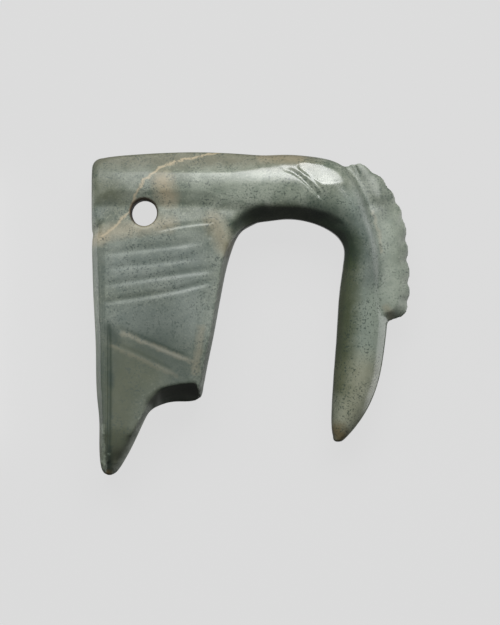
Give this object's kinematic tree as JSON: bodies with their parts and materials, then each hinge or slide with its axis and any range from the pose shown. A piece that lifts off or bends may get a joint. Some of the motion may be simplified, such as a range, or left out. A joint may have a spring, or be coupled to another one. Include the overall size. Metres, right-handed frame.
{
  "type": "bird pendant",
  "caption": "Carved stone pendant of a bird in profile, with a flat wing, arched neck, long beak, scalloped crest and a cord hole.",
  "frame": {"origin": "middle of the outline's box on the plain back that it rests on", "axes": "+X from the wing's side to the crest, +Y from the tail's point up to the back, +Z out of the carved front"},
  "size_m": [0.0574, 0.0581, 0.012],
  "materials": {
    "jade": "polished mottled grey-green jade with tan veins"
  },
  "bodies": {
    "root": {"carved_bird": "jade"}
  },
  "joints": []
}
